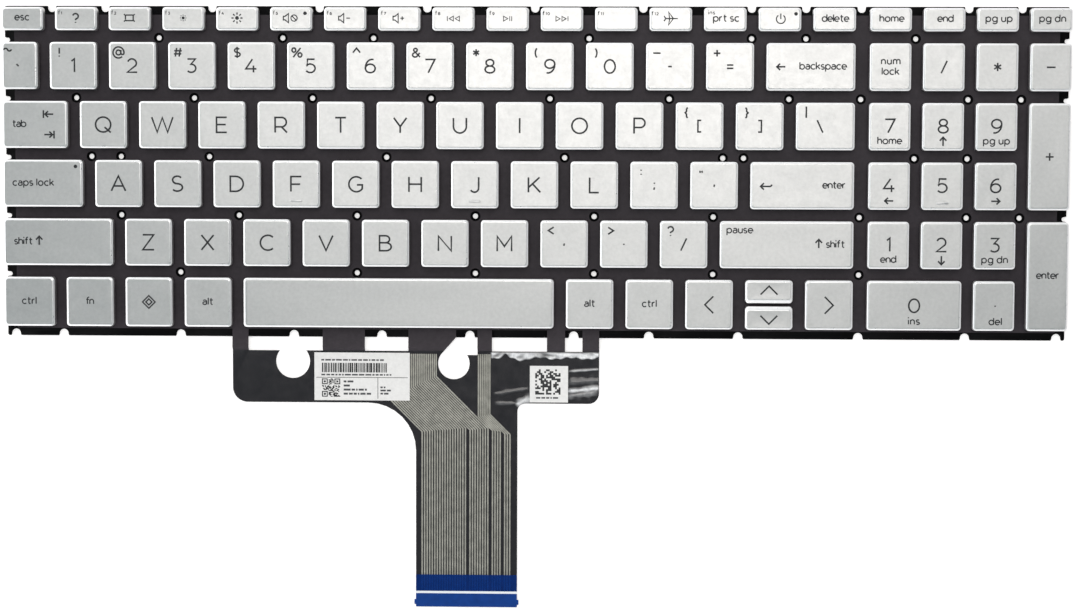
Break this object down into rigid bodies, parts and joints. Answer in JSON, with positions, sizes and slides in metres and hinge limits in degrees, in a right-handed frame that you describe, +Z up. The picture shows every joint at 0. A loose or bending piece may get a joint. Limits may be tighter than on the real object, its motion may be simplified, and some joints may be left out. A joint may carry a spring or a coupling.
{
  "type": "laptop replacement keyboard",
  "caption": "Flat full-size laptop keyboard with number pad: silver keycaps on scissor links over a black plate, and a flat tail with a blue stiffened end.",
  "frame": {"origin": "under the middle of the whole outline, tail included, on the plate's underside", "axes": "+X along the key rows to the right, +Y from the tail to the function row, +Z up out of the keys"},
  "size_m": [0.334, 0.1898, 0.0046],
  "materials": {
    "keycap_paint": "silver paint, fine satin",
    "plate_paint": "black coat",
    "film": "black printed polyester",
    "conductor": "silver ink",
    "stiffener": "blue polyester",
    "label_paper": "white print stock",
    "dome_rubber": "translucent silicone",
    "scissor_plastic": "natural moulded plastic",
    "wire_steel": "spring wire"
  },
  "bodies": {
    "base": {"base_plate": "plate_paint", "membrane": "film", "tail_traces": "conductor", "tail_stiffener": "stiffener", "wide_label": "label_paper", "square_label": "label_paper", "rubber_domes": "dome_rubber", "function_keycaps": "keycap_paint", "number_row_keycaps": "keycap_paint", "number_pad_keycaps": "keycap_paint", "side_keycaps": "keycap_paint"},
    "q_key": {"q_keycap": "keycap_paint"},
    "w_key": {"w_keycap": "keycap_paint"},
    "e_key": {"e_keycap": "keycap_paint"},
    "r_key": {"r_keycap": "keycap_paint"},
    "t_key": {"t_keycap": "keycap_paint"},
    "y_key": {"y_keycap": "keycap_paint"},
    "u_key": {"u_keycap": "keycap_paint"},
    "i_key": {"i_keycap": "keycap_paint"},
    "o_key": {"o_keycap": "keycap_paint"},
    "p_key": {"p_keycap": "keycap_paint"},
    "a_key": {"a_keycap": "keycap_paint"},
    "s_key": {"s_keycap": "keycap_paint"},
    "d_key": {"d_keycap": "keycap_paint"},
    "f_key": {"f_keycap": "keycap_paint"},
    "g_key": {"g_keycap": "keycap_paint"},
    "h_key": {"h_keycap": "keycap_paint"},
    "j_key": {"j_keycap": "keycap_paint"},
    "k_key": {"k_keycap": "keycap_paint"},
    "l_key": {"l_keycap": "keycap_paint"},
    "z_key": {"z_keycap": "keycap_paint"},
    "x_key": {"x_keycap": "keycap_paint"},
    "c_key": {"c_keycap": "keycap_paint"},
    "v_key": {"v_keycap": "keycap_paint"},
    "b_key": {"b_keycap": "keycap_paint"},
    "n_key": {"n_keycap": "keycap_paint"},
    "m_key": {"m_keycap": "keycap_paint"},
    "space_key": {"space_keycap": "keycap_paint"},
    "enter_key": {"enter_keycap": "keycap_paint"},
    "backspace_key": {"backspace_keycap": "keycap_paint"},
    "tab_key": {"tab_keycap": "keycap_paint"},
    "caps_lock_key": {"caps_lock_keycap": "keycap_paint"},
    "left_shift_key": {"left_shift_keycap": "keycap_paint"},
    "right_shift_key": {"right_shift_keycap": "keycap_paint"},
    "left_arrow_key": {"left_arrow_keycap": "keycap_paint"},
    "up_arrow_key": {"up_arrow_keycap": "keycap_paint"},
    "down_arrow_key": {"down_arrow_keycap": "keycap_paint"},
    "right_arrow_key": {"right_arrow_keycap": "keycap_paint"},
    "pad_plus_key": {"pad_plus_keycap": "keycap_paint"},
    "pad_enter_key": {"pad_enter_keycap": "keycap_paint"},
    "pad_0_key": {"pad_0_keycap": "keycap_paint"},
    "esc_key": {"esc_keycap": "keycap_paint"},
    "delete_key": {"delete_keycap": "keycap_paint"},
    "left_ctrl_key": {"left_ctrl_keycap": "keycap_paint"},
    "right_ctrl_key": {"right_ctrl_keycap": "keycap_paint"},
    "f_outer": {"f_outer_scissor": "scissor_plastic"},
    "f_inner": {"f_inner_scissor": "scissor_plastic"},
    "j_outer": {"j_outer_scissor": "scissor_plastic"},
    "j_inner": {"j_inner_scissor": "scissor_plastic"},
    "space_stabiliser": {"space_wire": "wire_steel"}
  },
  "joints": [
    {"name": "q_press", "type": "slide", "parent": "base", "child": "q_key", "axis": [0, 0, -1], "range_m": [0, 0.0015], "stiffness_N_per_m": 200, "springref_m": -0.001, "deforming": ["rubber_domes"]},
    {"name": "w_press", "type": "slide", "parent": "base", "child": "w_key", "axis": [0, 0, -1], "range_m": [0, 0.0015], "stiffness_N_per_m": 200, "springref_m": -0.001, "deforming": ["rubber_domes"]},
    {"name": "e_press", "type": "slide", "parent": "base", "child": "e_key", "axis": [0, 0, -1], "range_m": [0, 0.0015], "stiffness_N_per_m": 200, "springref_m": -0.001, "deforming": ["rubber_domes"]},
    {"name": "r_press", "type": "slide", "parent": "base", "child": "r_key", "axis": [0, 0, -1], "range_m": [0, 0.0015], "stiffness_N_per_m": 200, "springref_m": -0.001, "deforming": ["rubber_domes"]},
    {"name": "t_press", "type": "slide", "parent": "base", "child": "t_key", "axis": [0, 0, -1], "range_m": [0, 0.0015], "stiffness_N_per_m": 200, "springref_m": -0.001, "deforming": ["rubber_domes"]},
    {"name": "y_press", "type": "slide", "parent": "base", "child": "y_key", "axis": [0, 0, -1], "range_m": [0, 0.0015], "stiffness_N_per_m": 200, "springref_m": -0.001, "deforming": ["rubber_domes"]},
    {"name": "u_press", "type": "slide", "parent": "base", "child": "u_key", "axis": [0, 0, -1], "range_m": [0, 0.0015], "stiffness_N_per_m": 200, "springref_m": -0.001, "deforming": ["rubber_domes"]},
    {"name": "i_press", "type": "slide", "parent": "base", "child": "i_key", "axis": [0, 0, -1], "range_m": [0, 0.0015], "stiffness_N_per_m": 200, "springref_m": -0.001, "deforming": ["rubber_domes"]},
    {"name": "o_press", "type": "slide", "parent": "base", "child": "o_key", "axis": [0, 0, -1], "range_m": [0, 0.0015], "stiffness_N_per_m": 200, "springref_m": -0.001, "deforming": ["rubber_domes"]},
    {"name": "p_press", "type": "slide", "parent": "base", "child": "p_key", "axis": [0, 0, -1], "range_m": [0, 0.0015], "stiffness_N_per_m": 200, "springref_m": -0.001, "deforming": ["rubber_domes"]},
    {"name": "a_press", "type": "slide", "parent": "base", "child": "a_key", "axis": [0, 0, -1], "range_m": [0, 0.0015], "stiffness_N_per_m": 200, "springref_m": -0.001, "deforming": ["rubber_domes"]},
    {"name": "s_press", "type": "slide", "parent": "base", "child": "s_key", "axis": [0, 0, -1], "range_m": [0, 0.0015], "stiffness_N_per_m": 200, "springref_m": -0.001, "deforming": ["rubber_domes"]},
    {"name": "d_press", "type": "slide", "parent": "base", "child": "d_key", "axis": [0, 0, -1], "range_m": [0, 0.0015], "stiffness_N_per_m": 200, "springref_m": -0.001, "deforming": ["rubber_domes"]},
    {"name": "f_press", "type": "slide", "parent": "base", "child": "f_key", "axis": [0, 0, -1], "range_m": [0, 0.0015], "stiffness_N_per_m": 200, "springref_m": -0.001, "deforming": ["rubber_domes"]},
    {"name": "g_press", "type": "slide", "parent": "base", "child": "g_key", "axis": [0, 0, -1], "range_m": [0, 0.0015], "stiffness_N_per_m": 200, "springref_m": -0.001, "deforming": ["rubber_domes"]},
    {"name": "h_press", "type": "slide", "parent": "base", "child": "h_key", "axis": [0, 0, -1], "range_m": [0, 0.0015], "stiffness_N_per_m": 200, "springref_m": -0.001, "deforming": ["rubber_domes"]},
    {"name": "j_press", "type": "slide", "parent": "base", "child": "j_key", "axis": [0, 0, -1], "range_m": [0, 0.0015], "stiffness_N_per_m": 200, "springref_m": -0.001, "deforming": ["rubber_domes"]},
    {"name": "k_press", "type": "slide", "parent": "base", "child": "k_key", "axis": [0, 0, -1], "range_m": [0, 0.0015], "stiffness_N_per_m": 200, "springref_m": -0.001, "deforming": ["rubber_domes"]},
    {"name": "l_press", "type": "slide", "parent": "base", "child": "l_key", "axis": [0, 0, -1], "range_m": [0, 0.0015], "stiffness_N_per_m": 200, "springref_m": -0.001, "deforming": ["rubber_domes"]},
    {"name": "z_press", "type": "slide", "parent": "base", "child": "z_key", "axis": [0, 0, -1], "range_m": [0, 0.0015], "stiffness_N_per_m": 200, "springref_m": -0.001, "deforming": ["rubber_domes"]},
    {"name": "x_press", "type": "slide", "parent": "base", "child": "x_key", "axis": [0, 0, -1], "range_m": [0, 0.0015], "stiffness_N_per_m": 200, "springref_m": -0.001, "deforming": ["rubber_domes"]},
    {"name": "c_press", "type": "slide", "parent": "base", "child": "c_key", "axis": [0, 0, -1], "range_m": [0, 0.0015], "stiffness_N_per_m": 200, "springref_m": -0.001, "deforming": ["rubber_domes"]},
    {"name": "v_press", "type": "slide", "parent": "base", "child": "v_key", "axis": [0, 0, -1], "range_m": [0, 0.0015], "stiffness_N_per_m": 200, "springref_m": -0.001, "deforming": ["rubber_domes"]},
    {"name": "b_press", "type": "slide", "parent": "base", "child": "b_key", "axis": [0, 0, -1], "range_m": [0, 0.0015], "stiffness_N_per_m": 200, "springref_m": -0.001, "deforming": ["rubber_domes"]},
    {"name": "n_press", "type": "slide", "parent": "base", "child": "n_key", "axis": [0, 0, -1], "range_m": [0, 0.0015], "stiffness_N_per_m": 200, "springref_m": -0.001, "deforming": ["rubber_domes"]},
    {"name": "m_press", "type": "slide", "parent": "base", "child": "m_key", "axis": [0, 0, -1], "range_m": [0, 0.0015], "stiffness_N_per_m": 200, "springref_m": -0.001, "deforming": ["rubber_domes"]},
    {"name": "space_press", "type": "slide", "parent": "base", "child": "space_key", "axis": [0, 0, -1], "range_m": [0, 0.0015], "stiffness_N_per_m": 200, "springref_m": -0.001, "deforming": ["rubber_domes"]},
    {"name": "enter_press", "type": "slide", "parent": "base", "child": "enter_key", "axis": [0, 0, -1], "range_m": [0, 0.0015], "stiffness_N_per_m": 200, "springref_m": -0.001, "deforming": ["rubber_domes"]},
    {"name": "backspace_press", "type": "slide", "parent": "base", "child": "backspace_key", "axis": [0, 0, -1], "range_m": [0, 0.0015], "stiffness_N_per_m": 200, "springref_m": -0.001, "deforming": ["rubber_domes"]},
    {"name": "tab_press", "type": "slide", "parent": "base", "child": "tab_key", "axis": [0, 0, -1], "range_m": [0, 0.0015], "stiffness_N_per_m": 200, "springref_m": -0.001, "deforming": ["rubber_domes"]},
    {"name": "caps_lock_press", "type": "slide", "parent": "base", "child": "caps_lock_key", "axis": [0, 0, -1], "range_m": [0, 0.0015], "stiffness_N_per_m": 200, "springref_m": -0.001, "deforming": ["rubber_domes"]},
    {"name": "left_shift_press", "type": "slide", "parent": "base", "child": "left_shift_key", "axis": [0, 0, -1], "range_m": [0, 0.0015], "stiffness_N_per_m": 200, "springref_m": -0.001, "deforming": ["rubber_domes"]},
    {"name": "right_shift_press", "type": "slide", "parent": "base", "child": "right_shift_key", "axis": [0, 0, -1], "range_m": [0, 0.0015], "stiffness_N_per_m": 200, "springref_m": -0.001, "deforming": ["rubber_domes"]},
    {"name": "left_arrow_press", "type": "slide", "parent": "base", "child": "left_arrow_key", "axis": [0, 0, -1], "range_m": [0, 0.0015], "stiffness_N_per_m": 200, "springref_m": -0.001, "deforming": ["rubber_domes"]},
    {"name": "up_arrow_press", "type": "slide", "parent": "base", "child": "up_arrow_key", "axis": [0, 0, -1], "range_m": [0, 0.0015], "stiffness_N_per_m": 200, "springref_m": -0.001, "deforming": ["rubber_domes"]},
    {"name": "down_arrow_press", "type": "slide", "parent": "base", "child": "down_arrow_key", "axis": [0, 0, -1], "range_m": [0, 0.0015], "stiffness_N_per_m": 200, "springref_m": -0.001, "deforming": ["rubber_domes"]},
    {"name": "right_arrow_press", "type": "slide", "parent": "base", "child": "right_arrow_key", "axis": [0, 0, -1], "range_m": [0, 0.0015], "stiffness_N_per_m": 200, "springref_m": -0.001, "deforming": ["rubber_domes"]},
    {"name": "pad_plus_press", "type": "slide", "parent": "base", "child": "pad_plus_key", "axis": [0, 0, -1], "range_m": [0, 0.0015], "stiffness_N_per_m": 200, "springref_m": -0.001, "deforming": ["rubber_domes"]},
    {"name": "pad_enter_press", "type": "slide", "parent": "base", "child": "pad_enter_key", "axis": [0, 0, -1], "range_m": [0, 0.0015], "stiffness_N_per_m": 200, "springref_m": -0.001, "deforming": ["rubber_domes"]},
    {"name": "pad_0_press", "type": "slide", "parent": "base", "child": "pad_0_key", "axis": [0, 0, -1], "range_m": [0, 0.0015], "stiffness_N_per_m": 200, "springref_m": -0.001, "deforming": ["rubber_domes"]},
    {"name": "esc_press", "type": "slide", "parent": "base", "child": "esc_key", "axis": [0, 0, -1], "range_m": [0, 0.0015], "stiffness_N_per_m": 200, "springref_m": -0.001, "deforming": ["rubber_domes"]},
    {"name": "delete_press", "type": "slide", "parent": "base", "child": "delete_key", "axis": [0, 0, -1], "range_m": [0, 0.0015], "stiffness_N_per_m": 200, "springref_m": -0.001, "deforming": ["rubber_domes"]},
    {"name": "left_ctrl_press", "type": "slide", "parent": "base", "child": "left_ctrl_key", "axis": [0, 0, -1], "range_m": [0, 0.0015], "stiffness_N_per_m": 200, "springref_m": -0.001, "deforming": ["rubber_domes"]},
    {"name": "right_ctrl_press", "type": "slide", "parent": "base", "child": "right_ctrl_key", "axis": [0, 0, -1], "range_m": [0, 0.0015], "stiffness_N_per_m": 200, "springref_m": -0.001, "deforming": ["rubber_domes"]},
    {"name": "f_outer_tilt", "type": "hinge", "parent": "base", "child": "f_outer", "pos_m": [-0.07425, 0.04425, 0.0012], "axis": [1, 0, 0], "range_deg": [0, 8.85]},
    {"name": "f_inner_tilt", "type": "hinge", "parent": "f_key", "child": "f_inner", "pos_m": [-0.07425, 0.04295, 0.00345], "axis": [-1, 0, 0], "range_deg": [0, 11.98]},
    {"name": "j_outer_tilt", "type": "hinge", "parent": "base", "child": "j_outer", "pos_m": [-0.01815, 0.04425, 0.0012], "axis": [1, 0, 0], "range_deg": [0, 8.85]},
    {"name": "j_inner_tilt", "type": "hinge", "parent": "j_key", "child": "j_inner", "pos_m": [-0.01815, 0.04295, 0.00345], "axis": [-1, 0, 0], "range_deg": [0, 11.98]},
    {"name": "space_wire_tilt", "type": "hinge", "parent": "base", "child": "space_stabiliser", "pos_m": [-0.04216, 0.00077, 0.00125], "axis": [-1, 0, 0], "range_deg": [0, 13.88]}
  ],
  "couplings": [
    {"joint": "f_outer_tilt", "follows": "f_press", "rad_per_m": 102.72},
    {"joint": "f_inner_tilt", "follows": "f_press", "rad_per_m": 139.21},
    {"joint": "j_outer_tilt", "follows": "j_press", "rad_per_m": 102.72},
    {"joint": "j_inner_tilt", "follows": "j_press", "rad_per_m": 139.21},
    {"joint": "space_wire_tilt", "follows": "space_press", "rad_per_m": 161.28}
  ]
}
